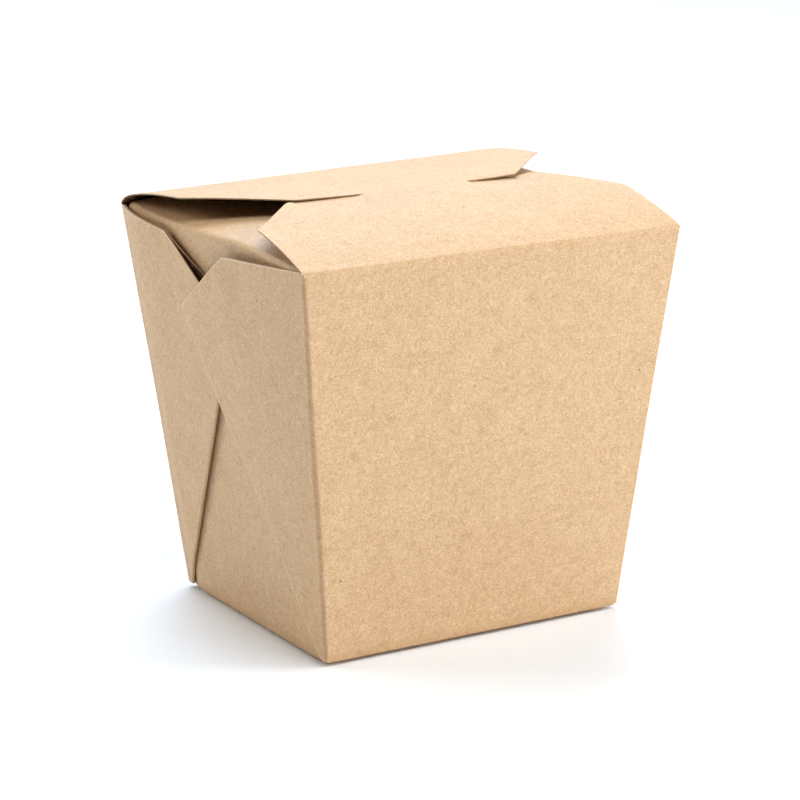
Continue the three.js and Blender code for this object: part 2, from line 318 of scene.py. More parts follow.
class TakeawayBoardLook(bpy.types.PropertyGroup):
    """The finish of the kraft board, with the shade and highlight that are painted onto its folds, cuts and
    inside
    """

    board_colour: tint("Board", "Main colour of the board", (0.66, 0.44, 0.245))
    shade_colour: tint("Cloud", "Colour of the board's darker clouds", (0.634, 0.416, 0.226))
    dark_fibre: tint("Dark Fibre", "Colour of the dark fibres", (0.44, 0.265, 0.125))
    pale_fibre: tint("Pale Fibre", "Colour of the pale fibres", (0.82, 0.60, 0.37))
    # Painted shade: a darker brown mixed in along the folds, partly fold wear and partly the shade that
    # falls in the folds
    fold_shade_colour: tint("Fold", "Colour that the board takes on where it is folded", (0.52, 0.26, 0.11))
    speck_colour: tint("Speck", "Colour of the small specks", (0.12, 0.06, 0.03))
    # Painted highlight: a pale line beside the cuts, partly the burr and partly the light that the cut edge
    # catches
    burr_highlight_colour: tint("Burr", "Colour of the board's skin right beside a cut", (0.84, 0.64, 0.42))
    # The raw cut edges, darkened with painted shade
    cut_edge_shade_colour: tint("Cut Edge", "Colour of the raw cut edges", (0.38, 0.24, 0.13))
    # Painted shade: the board's inner face is made dark to stand for the shade inside the shut box
    inside_shade_colour: tint("Inside", "Main colour of the board's inner face", (0.20, 0.12, 0.06))


class TakeawayStageLook(bpy.types.PropertyGroup):
    """The plain floor, the studio lights and the camera"""

    floor_colour: tint("Floor", "Colour of the floor", (0.905, 0.95, 1.0))
    camera_azimuth: degrees("Camera Azimuth", "Angle round the box from its front", -30.0)
    camera_elevation: degrees("Camera Elevation", "Angle above the floor", 15.23)
    camera_roll: degrees("Camera Roll", "Tilt of the picture", -0.61)
    camera_distance: length("Camera Distance", "From the middle of the box", 0.8094)
    camera_lens: ratio("Lens", "Focal length in millimetres on a 36 mm sensor", 143.8)
    camera_shift: bpy.props.FloatVectorProperty(
        name="Shift", description="Shift of the picture", default=(0.0024, 0.0081), size=2)


class TakeawayBoxSettings(bpy.types.PropertyGroup):
    """All the settings of the takeaway box"""

    body: bpy.props.PointerProperty(type=TakeawayBodySizes)
    sides: bpy.props.PointerProperty(type=TakeawaySideSizes)
    lid: bpy.props.PointerProperty(type=TakeawayLidSizes)
    look: bpy.props.PointerProperty(type=TakeawayBoardLook)
    stage: bpy.props.PointerProperty(type=TakeawayStageLook)


# ------------------------------------------------------------------ small sums


def clamp(value):
    """The value, kept between 0 and 1"""
    return max(0.0, min(1.0, value))


def ease(share):
    """0 up to nought, 1 from one on, smooth between"""
    share = clamp(share)
    return share * share * (3 - 2 * share)


def bump(offset):
    """1 at an offset of nought, and soon 0 on both sides of it"""
    return math.exp(-offset * offset)


def mix(start, finish, share):
    """The value that lies a share of the way from start to finish"""
    return start + (finish - start) * share


def shares(count):
    """Even steps from 0 to 1"""
    return [step / count for step in range(count + 1)]


def steps(start, finish, size):
    """Even steps from start to finish, none longer than size"""
    count = max(1, math.ceil(abs(finish - start) / size - 1e-6))
    return [mix(start, finish, share) for share in shares(count)]


def mirrored(values):
    """The values and their mirror images, in order, with nought once"""
    return sorted({round(sign * value, 9) for value in values for sign in SIDES})


def across_x(across, full, edge):
    """X of a column: an even share of the full half width, with the outermost drawn in to the edge"""
    share = abs(across)
    drawn = (full - edge) * ease((share - EVEN_SHARE) / (1 - EVEN_SHARE))
    return math.copysign(share * full - drawn, across)


def direction(azimuth, elevation):
    """The way from the box to a place round it: azimuth 0 is in front and elevation 0 is level"""
    level = math.cos(elevation)
    return Vector((math.sin(azimuth) * level, -math.cos(azimuth) * level, math.sin(elevation)))


def fold_drop(run, radius):
    """How far a rounded edge lies below its sharp corner"""
    inside = max(0.0, radius - max(0.0, run))
    return radius - math.sqrt(radius * radius - inside * inside)


# ------------------------------------------------------------------ the body's form


def half_width(box, z):
    """Half the width of the body at a height"""
    body = box.body
    return mix(body.base_width, body.top_width, z / body.height) / 2


def half_depth(box, z):
    """Half the depth of the body at a height"""
    body = box.body
    return mix(body.base_depth, body.top_depth, z / body.height) / 2


def fold_radius(box, z):
    """An upright fold is sharper at the base and at the mouth"""
    bow = math.sqrt(math.sin(math.pi * clamp(z / box.body.height)))
    return mix(box.body.corner_radius, box.body.fold_radius, bow)


def lean(base_size, top_size, height):
    """How far a wall leans outwards, as an angle"""
    return math.atan((top_size - base_size) / 2 / height)


def base_setback(radius, angle):
    """How far inside its corner the fold round the base begins"""
    return radius * math.tan((math.pi / 2 - angle) / 2)


def base_fold(radius, angle, turn):
    """A point of the fold round the base: how far outside the corner, and how high"""
    swing = (math.pi / 2 - angle) * turn
    return radius * math.sin(swing) - base_setback(radius, angle), radius * (1 - math.cos(swing))


def panel_sink(box, front_run, rear_run, z):
    """How far a side panel sinks in, beside the upright folds and away from the base"""
    sides = box.sides
    front = sides.front_inset * (1 - ease(front_run / sides.onset))
    rear = sides.rear_inset * (1 - ease(rear_run / sides.onset))
    sag = sides.panel_sag * ease(z / sides.sag_height) * ease(front_run / sides.sag_reach)
    hollow = sides.panel_hollow * bump((z - sides.hollow_height) / sides.hollow_reach)
    return max(front, rear, sag) + hollow * ease(front_run / sides.sag_reach)


def wing_offset(box, run, z):
    """How far the wing's outside stands off the side wall"""
    sides = box.sides
    past_fold = run - fold_radius(box, z)
    lift = sides.wing_lift * ease((z - sides.wing_lift_start) / sides.wing_lift_run)
    lifted = lift * ease(run / sides.wing_lift_width) + tip_lift(box, 2 * half_depth(box, z) - run, z)
    return sides.wing_step * ease(past_fold / sides.onset) + lifted


def tip_lift(box, rear_run, z):
    """How far the web and the wing over it spring out together near their tips"""
    sides = box.sides
    start, full = sides.tip_lift_reach
    started = ease((rear_run - start) / (full - start))
    ended = ease((rear_run - full - TIP_HOLD) / TIP_FADE)
    risen_share = ease((z - sides.tip_lift_start) / sides.tip_lift_run)
    return sides.tip_lift * risen_share * (started * (1 - ended))


def web_offset(box, run, z):
    """How far the web's outside stands off the side wall"""
    sides = box.sides
    past_fold = run - fold_radius(box, z)
    bulge = bump((run - sides.web_bulge_place) / sides.web_bulge_reach) * ease(past_fold / sides.bulge_onset)
    height = clamp(z / box.body.height)
    from_turn = max(0.0, web_fold_run(box, z) - run)
    puff = math.sin(math.pi * height) * math.exp(-from_turn / sides.puff_reach)
    stand = sides.web_step + sides.web_puff * puff
    sprung = sides.web_bulge * bulge * height ** 3 + tip_lift(box, run, z)
    return stand * ease(past_fold / sides.onset) + sprung


def web_fold_run(box, z):
    """Distance of the web's slanting fold from the rear fold"""
    return box.sides.web_foot + z / box.sides.web_slope


def crease_top(box, side, y):
    """Height of the side flap at its crease, kept below the front flap"""
    sides = box.sides
    which = 0 if side < 0 else 1
    bow = sides.crease_bow[which] * bump((y - sides.bow_centre[which]) / sides.bow_reach)
    upturn = sides.crease_upturn * bump((box.body.top_depth / 2 - y) / sides.upturn_reach)
    return min(sides.crease_height + bow + upturn, under_lid(box, side * box.body.top_width / 2, y))


def side_flap_top(box, side, x, y, run):
    """Height of the side flap, which springs up behind its crease until the lid stops it"""
    sides = box.sides
    spring = sides.flap_spring * (1 - math.exp(-run / sides.flap_spring_reach))
    return min(crease_top(box, side, y) + spring, under_lid(box, x, y))


def under_lid(box, x, y):
    """The highest that a side flap can be under both lid flaps"""
    front = front_top(box, x, y)
    if y < shoulder_y(box, x):
        rear = front
    else:
        rear = rear_top(box, x, y)
    clearance = box.body.board + SIDE_FLAP_AIR
    if abs(x) < box.lid.slit_end[0] + TONGUE_ROOM:
        clearance += box.body.board + box.lid.tongue_dive
    return min(front, rear) - clearance


# ------------------------------------------------------------------ the lid's form


def risen(box, x, run, rise, tilt, reach):
    """How much of a rise, tilted from end to end, a lid flap has made at a distance from its hinge"""
    across = x / (box.body.top_width / 2)
    return (rise + tilt * across) * (1 - math.exp(-run / reach))


def front_crease_lift(box, x):
    """How far the front flap's crease lies over the mouth: it turns up at its left end"""
    lid = box.lid
    upturn = lid.front_crease_turn * bump((x + box.body.top_width / 2) / lid.turn_reach)
    drop = lid.front_crease_drop * ease((x - CREASE_DROP_START) / CREASE_DROP_RUN)
    return upturn - lid.front_crease - drop


def raise_to_crease(box, point):
    """Moves a point of the front wall or of a wing along the wall's slope, to meet the crease"""
    start = FOLLOW_START * box.body.height
    share = ease((point.z - start) / (hinge_z(box) - start))
    height = point.z + share * front_crease_lift(box, point.x)
    return Vector((point.x, point.y - half_depth(box, height) + half_depth(box, point.z), height))


def front_free(box, x, run):
    """Height of the front flap where nothing presses on it"""
    lid = box.lid
    rise = risen(box, x, run, lid.front_rise, lid.front_rise_tilt, lid.front_rise_length)
    over_mouth = rise - fold_drop(run, box.body.hinge_radius)
    return box.body.height + front_crease_lift(box, x) + over_mouth


def shoulder_y(box, x):
    """The line of the rear flap's shoulders and of the slit between them"""
    slit_x, slit_y = box.lid.slit_end
    corner_x, corner_y = box.lid.rear_corner
    return mix(slit_y, corner_y, clamp((abs(x) - slit_x) / (corner_x - slit_x)))


def shoulder_line_y(box, x):
    """The rear flap's free edge: the slit, a shoulder, and the chamfer beyond it"""
    corner_x, corner_y = box.lid.rear_corner
    tip_x, tip_y = box.lid.rear_tip
    beyond = max(0.0, abs(x) - corner_x)
    return shoulder_y(box, x) + beyond * (tip_y - corner_y) / (tip_x - corner_x)


def rear_free(box, x, y):
    """Height of the rear flap where nothing bends it further"""
    lid = box.lid
    run = max(0.0, box.body.top_depth / 2 - y)
    start_x = DROOP_START * lid.slit_end[0]
    outward = ease((abs(x) - start_x) / (lid.rear_corner[0] - start_x))
    forward = 1 - ease((y - lid.slit_end[1]) / lid.droop_reach)
    droop = lid.droop[0 if x < 0 else 1] * outward * forward
    step = risen(box, x, run, lid.rear_step, lid.rear_step_tilt, lid.rear_step_length)
    rise = risen(box, x, run, lid.rear_rise, lid.rear_rise_tilt, lid.rear_rise_length)
    over_mouth = step + rise - fold_drop(run, box.body.hinge_radius)
    return box.body.height - droop + over_mouth


def rear_top(box, x, y):
    """Height of the rear flap, which steps down past the slit and dives as its tongue"""
    lid = box.lid
    past = lid.slit_end[1] - y
    if past <= 0 or abs(x) > lid.slit_end[0] - 0.5 * lid.tongue_margin:
        return rear_free(box, x, y)
    step = (box.body.board + lid.slit_gap) * clamp(past / TONGUE_STEP)
    return rear_free(box, x, y) - step - lid.tongue_dive * ease(past / lid.tongue_length)


def parted(box, x):
    """Whether the slit parts the front flap here"""
    return abs(x) < box.lid.slit_end[0] + box.lid.slit_run - HAIR


def front_top(box, x, y, behind=None):
    """Height of the front flap.  Before the line of the shoulders it is bent to meet
    the rear flap: level with it at the slit, and under it past the slit's ends.
    Behind the line it lies under the rear flap.  Where the slit parts it, the caller
    says which lip is meant."""
    lid = box.lid
    slit_x = lid.slit_end[0]
    hinge_y = -box.body.top_depth / 2
    line_y = shoulder_line_y(box, x)
    outward = clamp((abs(x) - slit_x) / (lid.rear_corner[0] - slit_x))
    shoulder_gap = lid.shoulder_gap[0 if x < 0 else 1]
    clearance = box.body.board + mix(lid.slit_gap, shoulder_gap, outward)
    free = front_free(box, x, y - hinge_y)
    free_at_line = front_free(box, x, line_y - hinge_y)
    if behind is None:
        behind = y > line_y
    if behind or not parted(box, x):
        under = clearance
    else:
        under = clearance * ease((abs(x) - slit_x) / lid.slit_run)
    bend = rear_free(box, x, line_y) - under - free_at_line
    beyond = max(0.0, abs(x) - lid.rear_corner[0])
    if beyond > 0:
        bend = min(bend, 0.0) * (bump(beyond / lid.press_fade) if y < line_y else 1.0)
    if behind:
        return min(free + bend, rear_top(box, x, y) - clearance)
    return free + bend * bump(max(0.0, line_y - y) / lid.press_reach)


# ------------------------------------------------------------------ modelling helpers


def only(piece):
    """Makes a piece the one that is selected and active"""
    bpy.ops.object.select_all(action="DESELECT")
    piece.select_set(True)
    bpy.context.view_layer.objects.active = piece


def add_sheet(name, columns, rows, place):
    """Adds a grid with a vertex at each column and row, and bends it into place"""
    bpy.ops.object.select_all(action="DESELECT")
    bpy.ops.mesh.primitive_grid_add(
        x_subdivisions=len(columns) - 1, y_subdivisions=len(rows) - 1, size=2)
    sheet = bpy.context.active_object
    sheet.name = name
    sheet[SHEET_TAG] = True
    part_number = len(bpy.data.objects)
    part = sheet.data.attributes.new(PART_ATTRIBUTE, "INT", "POINT")
    part.data.foreach_set("value", [part_number] * len(sheet.data.vertices))
    for vertex in sheet.data.vertices:
        column = columns[round((vertex.co.x + 1) / 2 * (len(columns) - 1))]
        row = rows[round((vertex.co.y + 1) / 2 * (len(rows) - 1))]
        vertex.co = place(column, row)
    return sheet


def trim(sheet, start, finish, along, keep):
    """Cuts a sheet on the plane through two points and a direction, and keeps one side"""
    normal = (finish - start).cross(along).normalized()
    if normal.dot(keep - start) > 0:
        normal.negate()
    only(sheet)
    bpy.ops.object.mode_set(mode="EDIT")
    bpy.ops.mesh.select_all(action="SELECT")
    bpy.ops.mesh.bisect(plane_co=start, plane_no=normal, clear_outer=True)
    bpy.ops.object.mode_set(mode="OBJECT")


def trim_plan(sheet, start, finish, keep):
    """Cuts a lid flap straight down along a line in X and Y"""
    first, second, kept = [Vector((*point, 0.0)) for point in (start, finish, keep)]
    trim(sheet, first, second, UP, kept)


def trim_side(box, sheet, end, start, finish, keep):
    """Cuts a side layer along a line between points given as run and height"""
    first, second, kept = [
        Vector((0.0, end * (half_depth(box, z) - run), z)) for run, z in (start, finish, keep)]
    trim(sheet, first, second, Vector((1, 0, 0)), kept)


# ------------------------------------------------------------------ stations


def across_stations(box):
    """Shares of the half width, with one on each end of the slit and each inner corner"""
    half = box.body.top_width / 2
    slit_x = box.lid.slit_end[0]
    tongue_x = slit_x - box.lid.tongue_margin
    part_x = slit_x + box.lid.slit_run
    stops = (0.0, tongue_x, slit_x, part_x, box.lid.rear_corner[0], half - 2 * MM, half)
    values = []
    for start, finish, size in zip(stops, stops[1:], COLUMN_SIZES):
        values += steps(start, finish, size)
    return mirrored([value / half for value in values])


def along_stations():
    """Shares of the half depth, from front to rear"""
    return [-1 + 2 * share for share in shares(ALONG_STEPS)]


def wall_heights(box):
    """Heights from the top of the fold round the base to the hinge fold"""
    start = base_fold(box.body.base_radius, front_lean(box), 1.0)[1]
    return steps(start, hinge_z(box), ROW_SIZE)


def layer_heights(box):
    """The walls' heights, and a few more up to the mouth for the side layers"""
    return wall_heights(box) + [box.body.height + step for step in MOUTH_ROWS]


def front_lean(box):
    """How far the front and rear walls lean outwards, as an angle"""
    return lean(box.body.base_depth, box.body.top_depth, box.body.height)


def side_lean(box):
    """How far the side panels lean outwards, as an angle"""
    return lean(box.body.base_width, box.body.top_width, box.body.height)


def upright_fold_columns():
    """Columns of a side layer round its upright fold, which have a turn and no run"""
    return [(swing, None) for swing in shares(UPRIGHT_FOLD_STEPS)]


def lid_runs(box, to):
    """Distances from a hinge: fine round the fold, and even beyond it"""
    radius = box.body.hinge_radius
    fold = [radius * (1 - math.cos(math.pi / 2 * share)) for share in shares(HINGE_FOLD_STEPS)]
    near = [radius * factor for factor in HINGE_FOLD_MORE]
    return fold + near + steps(radius * 4, to, LID_ROW_SIZE)


# ------------------------------------------------------------------ the sheet's parts


def base_edge_x(box, y):
    """Where the base ends under a side panel"""
    depth = box.body.base_depth / 2
    setback = base_setback(box.body.base_radius, side_lean(box))
    return box.body.base_width / 2 - panel_sink(box, depth + y, depth - y, 0.0) - setback


def base_half_depth(box):
    """Half the depth of the base between the folds at its front and rear"""
    return box.body.base_depth / 2 - base_setback(box.body.base_radius, front_lean(box))


def build_base(box):
    """The base panel, inside the folds round it"""
    half = box.body.base_width / 2

    def place(across, along):
        y = along * base_half_depth(box)
        return Vector((across_x(across, half, base_edge_x(box, y)), y, 0.0))

    return add_sheet("base_panel", across_stations(box), along_stations(), place)


def build_wall(box, end):
    """The front or rear wall, with its fold at the base"""
    radius, angle = box.body.base_radius, front_lean(box)
    rows = [(swing, None) for swing in shares(BASE_FOLD_STEPS)]
    rows += [(1.0, z) for z in wall_heights(box)[1:]]

    def place(across, row):
        swing, z = row
        if z is None:
            out, z = base_fold(radius, angle, swing)
            y = box.body.base_depth / 2 + out
            start = base_edge_x(box, base_half_depth(box))
            edge = mix(start, half_width(box, z) - fold_radius(box, z), swing)
        else:
            y = half_depth(box, z)
            edge = half_width(box, z) - fold_radius(box, z)
        point = Vector((across_x(across, half_width(box, z), edge), end * y, z))
        return raise_to_crease(box, point) if end == FRONT else point

    name = "front_wall" if end == FRONT else "rear_wall"
    return add_sheet(name, across_stations(box), rows, place)


def hinge_z(box):
    """Where a wall ends and its lid flap's hinge fold begins"""
    return box.body.height - box.body.hinge_radius


def lid_edge(box, run, tip):
    """Half the width of a lid flap, at a distance from its hinge"""
    start = half_width(box, hinge_z(box)) - fold_radius(box, hinge_z(box))
    hinge = box.body.top_width / 2 - box.lid.hinge_corner
    opened = mix(start, hinge, clamp(run / HAIR))
    tip_run = box.body.top_depth / 2 - abs(tip[1])
    return mix(opened, tip[0], clamp(run / tip_run))


def lid_x(box, across, run, tip):
    """X of a lid flap's column, at a distance from its hinge"""
    opened = clamp(run / box.body.hinge_radius)
    full = mix(half_width(box, hinge_z(box)), box.body.top_width / 2, opened)
    return across_x(across, full, lid_edge(box, run, tip))


def lid_point(box, end, across, run, top, tip):
    """A point of a lid flap: its rows swing from square at the hinge to the shoulders' line"""
    slit_y = box.lid.slit_end[1]
    hinge_y = box.body.top_depth / 2
    x = lid_x(box, across, run, tip)
    to_slit = hinge_y - end * slit_y
    swing = clamp((run - SWING_START) / (to_slit - SWING_START)) * (shoulder_y(box, x) - slit_y)
    y = end * (hinge_y - run) + swing
    z = top(x, y)
    if z < box.body.height:
        y += end * (half_depth(box, z) - hinge_y)
    return Vector((x, y, z))


def build_front_flap(box):
    """The front flap before and behind the line of the shoulders, parted at the slit"""
    lid = box.lid
    hinge_y = -box.body.top_depth / 2
    slit_y = lid.slit_end[1]
    columns = across_stations(box)

    def lip_top(behind, x, y):
        return front_top(box, x, y, behind if parted(box, x) else None)

    def place_before(across, run):
        point = lid_point(box, FRONT, across, run, partial(lip_top, False), lid.front_tip)
        if parted(box, point.x) and run > slit_y - hinge_y - HAIR:
            point.y -= 2 * TONGUE_STEP
        return point

    def place_behind(across, share):
        x = lid_x(box, across, slit_y - hinge_y, lid.front_tip)
        y = mix(shoulder_y(box, x), lid.front_end_y, share)
        return Vector((x, y, lip_top(True, x, y)))

    before = add_sheet("front_flap", columns, lid_runs(box, slit_y - hinge_y), place_before)
    behind = add_sheet("front_flap_end", columns, shares(FRONT_END_STEPS), place_behind)
    for sheet in (before, behind):
        for side in SIDES:
            tip = (side * lid.front_tip[0], lid.front_tip[1])
            chamfer = (side * lid.front_chamfer[0], lid.front_chamfer[1])
            trim_plan(sheet, tip, chamfer, (0.0, hinge_y))


def build_rear_flap(box):
    """The rear flap up to its shoulders, and the tongue beyond the slit"""
    lid = box.lid
    hinge_y = box.body.top_depth / 2
    slit_x, slit_y = lid.slit_end
    columns = across_stations(box)

    def place_flap(across, run):
        return lid_point(box, REAR, across, run, partial(rear_top, box), lid.rear_tip)

    def place_tongue(across, past):
        x = lid_x(box, across, hinge_y - slit_y, lid.rear_tip)
        x *= 1 - lid.tongue_taper * past / slit_x
        y = slit_y - past
        return Vector((x, y, rear_top(box, x, y)))

    flap = add_sheet("rear_flap", columns, lid_runs(box, hinge_y - slit_y), place_flap)
    for side in SIDES:
        tip = (side * lid.rear_tip[0], lid.rear_tip[1])
        corner = (side * lid.rear_corner[0], lid.rear_corner[1])
        trim_plan(flap, tip, corner, (0.0, hinge_y))
    widest = slit_x - lid.tongue_margin + HAIR
    inner = [across for across in columns if abs(across) * box.body.top_width / 2 < widest]
    rows = [0.0] + steps(TONGUE_STEP, lid.tongue_length, 0.8 * MM)
    add_sheet("tongue", inner, rows, place_tongue)


def side_place(box, side, end, offset):
    """Puts a point of a side layer into space, from its fold's turn and its run beyond the fold"""
    def place(turned, run, z):
        radius = fold_radius(box, z)
        if run is None:
            swing = math.pi / 2 * turned
            x = half_width(box, z) - radius + radius * math.sin(swing)
            y = half_depth(box, z) - radius + radius * math.cos(swing)
        else:
            x = half_width(box, z) + offset(run, z)
            y = half_depth(box, z) - run
        return Vector((side * x, end * y, z))

    return place


def corner_points(box):
    """Where the cut across the end of an upright fold starts and ends, as run and height"""
    width, depth = box.lid.corner_cut
    return (0.0, box.body.height - depth), (width, box.body.height)


def build_wing(box, side):
    """A wing, from the front wall round the upright fold and over the side panel"""
    sides = box.sides
    into_space = side_place(box, side, FRONT, partial(wing_offset, box))
    near_fold = (0.5 * MM, 1.2 * MM, 2.2 * MM)
    beyond = steps(3.4 * MM, 64 * MM, ROW_SIZE)
    columns = upright_fold_columns()
    columns += [(1.0, past) for past in (*near_fold, *beyond)]

    def place(column, z):
        turned, past = column
        run = None if past is None else past + fold_radius(box, z)
        return raise_to_crease(box, into_space(turned, run, z))

    wing = add_sheet("wing", columns, layer_heights(box), place)
    lift = front_crease_lift(box, side * box.body.top_width / 2)
    corner, mouth = [(run, z + lift) for run, z in corner_points(box)]
    foot = (sides.wing_foot, 0.0)
    middle = (10 * MM, 50 * MM)
    outline = (corner, mouth, sides.wing_top, sides.wing_tip, foot)
    for start, finish in zip(outline, outline[1:]):
        trim_side(box, wing, FRONT, start, finish, middle)


def inner_offset(box, run, z):
    """How far the outside of the web's inner layer stands off the side wall.

    It is tight under the outer layer at the slanting fold low down, and at the
    web's top corner.  It rests on the side panel away from them.
    """
    sides, board = box.sides, box.body.board
    depth = 2 * half_depth(box, z)
    tight = web_offset(box, run, z) - board - sides.web_gap
    resting = board + sides.web_rest - panel_sink(box, depth - run, run, z)
    start, full = sides.spread_reach
    low = 1 - math.exp(-max(0.0, web_fold_run(box, z) - run) / sides.tight_reach)
    high = ease((run - start) / (full - start))
    spread = mix(low, high, ease((z - sides.spread_start) / sides.spread_run))
    return min(mix(tight, resting, spread), tight)


def build_web(box, side):
    """A doubled web: the outer layer from the rear wall, its slanting fold and the inner layer"""
    sides, board = box.sides, box.body.board

    def inner_face(run, z):
        return inner_offset(box, run, z) - board

    outer_place = side_place(box, side, REAR, partial(web_offset, box))
    inner_place = side_place(box, side, REAR, inner_face)
    columns = upright_fold_columns()
    columns += [(1.0, share) for share in (0.02, 0.05, 0.09, *steps(0.14, 0.94, 0.045), 0.97, 1.0)]

    def place_outer(column, z):
        turned, share = column
        radius = fold_radius(box, z)
        run = None if share is None else mix(radius, web_fold_run(box, z), share)
        return outer_place(turned, run, z)

    def place_inner(column, z):
        over, back = column
        fold = web_fold_run(box, z)
        if back is not None:
            start = mix(fold, fold_radius(box, z) + 1 * MM, back)
            return inner_place(1.0, start, z)
        swing = math.pi * over
        outer = web_offset(box, fold, z)
        radius = (outer - inner_face(fold, z)) / 2
        out = outer - radius + radius * math.cos(swing)
        run = fold + radius * sides.web_turn_depth * math.sin(swing)
        return Vector((side * (half_width(box, z) + out), half_depth(box, z) - run, z))

    outer = add_sheet("web_outer", columns, layer_heights(box), place_outer)
    folds = [(over, None) for over in shares(WEB_FOLD_STEPS)]
    backs = [(1.0, back) for back in (0.03, 0.06, 0.1, *steps(0.15, 1.0, 0.05))]
    inner = add_sheet("web_inner", folds + backs, layer_heights(box), place_inner)

    corner, mouth = corner_points(box)
    top = sides.web_top
    tip = (web_fold_run(box, sides.web_tip_height), sides.web_tip_height)
    slip = sides.web_slip
    slipped = (tip[0] + slip * 1.6, tip[1] + slip)
    middle = (8 * MM, 60 * MM)
    for sheet, lower in ((outer, tip), (inner, slipped)):
        outline = (corner, mouth, top, lower)
        for start, finish in zip(outline, outline[1:]):
            trim_side(box, sheet, REAR, start, finish, middle)


def build_side_panel(box, side):
    """A side panel from its fold at the base to its crease, and the side flap beyond"""
    body, sides = box.body, box.sides
    angle = side_lean(box)
    radius = sides.crease_radius
    fold_top = base_fold(body.base_radius, angle, 1.0)[1]
    crease_foot = radius * (1 + math.sin(angle))
    rows = [("base", share) for share in shares(BASE_FOLD_STEPS)]
    for part, count in (("wall", PANEL_STEPS), ("crease", CREASE_STEPS), ("flap", SIDE_FLAP_STEPS)):
        rows += [(part, share) for share in shares(count)[1:]]

    def panel_y(along, z, inward):
        """Y of a column, between the front and rear margins, narrowing inwards on the flap"""
        margin = sides.front_margin if along < 0 else sides.rear_margin
        return along * (half_depth(box, z) - margin - inward * sides.flap_taper)

    def base_corner_x(along):
        """X of the sharp corner that the fold at the base rounds off"""
        return base_edge_x(box, along * base_half_depth(box)) + base_setback(body.base_radius, angle)

    def wall_x(y, z):
        depth = half_depth(box, z)
        return half_width(box, z) - panel_sink(box, depth + y, depth - y, z)

    def place(along, row):
        part, share = row
        if part == "base":
            out, z = base_fold(body.base_radius, angle, share)
            y = mix(along * base_half_depth(box), panel_y(along, z, 0.0), share)
            return Vector((side * (base_corner_x(along) + out), y, z))
        y = panel_y(along, body.height, 0.0)
        top = crease_top(box, side, y)
        foot = top - crease_foot
        if part == "wall":
            z = mix(fold_top, foot, share)
            y = panel_y(along, z, 0.0)
            blend = ease((z - fold_top) / PANEL_BLEND)
            low = base_corner_x(along) + half_width(box, z) - body.base_width / 2
            return Vector((side * mix(low, wall_x(y, z), blend), y, z))
        centre = wall_x(y, foot) - radius * math.cos(angle)
        if part == "crease":
            swing = mix(-angle, math.pi / 2, share)
            x = centre + radius * math.cos(swing)
            return Vector((side * x, y, top - radius + radius * math.sin(swing)))
        x = mix(centre, sides.flap_inner_x, share)
        y = panel_y(along, body.height, centre - x)
        return Vector((side * x, y, side_flap_top(box, side, side * x, y, centre - x)))

    return add_sheet("side_panel", along_stations(), rows, place)


# ------------------------------------------------------------------ joining and thickness


def bend(edge):
    """How sharply the sheet bends at an edge: its angle for each metre of the narrower face"""
    narrower = min(face.calc_area() for face in edge.link_faces) / edge.calc_length()
    return abs(edge.calc_face_angle(0.0)) / max(1e-6, narrower)


def mark_folds(box, piece):
    """Stores how sharply the sheet is bent at each vertex, for the shade painted along the folds, which is
    painted less round the mouth"""
    mesh = bmesh.new()
    mesh.from_mesh(piece.data)
    layer = mesh.verts.layers.float.new(FOLD_ATTRIBUTE)
    for vertex in mesh.verts:
        bends = [bend(edge) for edge in vertex.link_edges if len(edge.link_faces) == 2]
        near_mouth = ease((vertex.co.z - box.body.height + MOUTH_FADE_START) / MOUTH_FADE_RUN)
        amount = clamp(max(bends, default=0.0) * FULL_FOLD_RADIUS)
        vertex[layer] = amount * mix(1.0, MOUTH_FOLD_SHARE, near_mouth)
    mesh.to_mesh(piece.data)
    mesh.free()


def mark_cut_edges(box, piece):
    """Stores how far each vertex is from the nearest cut edge of its own part of the sheet, for the pale
    line of burr and painted highlight beside the cuts, on all parts but the lid flaps, which get none"""
    mesh = bmesh.new()
    mesh.from_mesh(piece.data)
    part = mesh.verts.layers.int[PART_ATTRIBUTE]
    cut = mesh.verts.layers.float.new(CUT_ATTRIBUTE)
    samples = {}
    for edge in mesh.edges:
        start, finish = edge.verts
        if not edge.is_boundary or min(start.co.z, finish.co.z) > box.body.height:
            continue
        count = max(1, round(edge.calc_length() / CUT_SAMPLE))
        points = [start.co.lerp(finish.co, share) for share in shares(count)]
        for number in {start[part], finish[part]}:
            samples.setdefault(number, []).extend(points)
    trees = {}
    for number, points in samples.items():
        trees[number] = kdtree.KDTree(len(points))
        for index, point in enumerate(points):
            trees[number].insert(point, index)
        trees[number].balance()
    for vertex in mesh.verts:
        tree = trees.get(vertex[part])
        nearest = tree.find(vertex.co)[2] if tree else CUT_REACH
        vertex[cut] = min(nearest, CUT_REACH)
    mesh.to_mesh(piece.data)
    mesh.free()


def waver(box, piece):
    """Moves the sheet a little, as if the space round it were not quite true"""
    body = box.body
    noise.seed_set(WAVER_SEED)
    for vertex in piece.data.vertices:
        rise = ease(vertex.co.z / WAVER_START)
        vertex.co += noise.noise_vector(vertex.co / body.warp_size) * body.warp * rise


def settle(box, piece):
    """Bows the base down, so that the box rests on its middle and its edges stand off a little"""
    body = box.body
    for vertex in piece.data.vertices:
        across = abs(vertex.co.x) / (body.base_width / 2)
        along = abs(vertex.co.y) / (body.base_depth / 2)
        near_edge = ease((max(across, along) - RESTING_SHARE) / (1 - RESTING_SHARE))
        taken_up = 1 - ease(vertex.co.z / body.settle_height)
        vertex.co.z += body.settle * near_edge * taken_up


def face_outwards(piece):
    """Turns the sheet's faces so that the front wall's face forwards"""
    only(piece)
    bpy.ops.object.mode_set(mode="EDIT")
    bpy.ops.mesh.select_all(action="SELECT")
    bpy.ops.mesh.normals_make_consistent(inside=False)
    bpy.ops.object.mode_set(mode="OBJECT")
    foremost = min(piece.data.polygons, key=lambda face: face.center.y)
    if foremost.normal.y > 0:
        bpy.ops.object.mode_set(mode="EDIT")
        bpy.ops.mesh.flip_normals()
        bpy.ops.object.mode_set(mode="OBJECT")


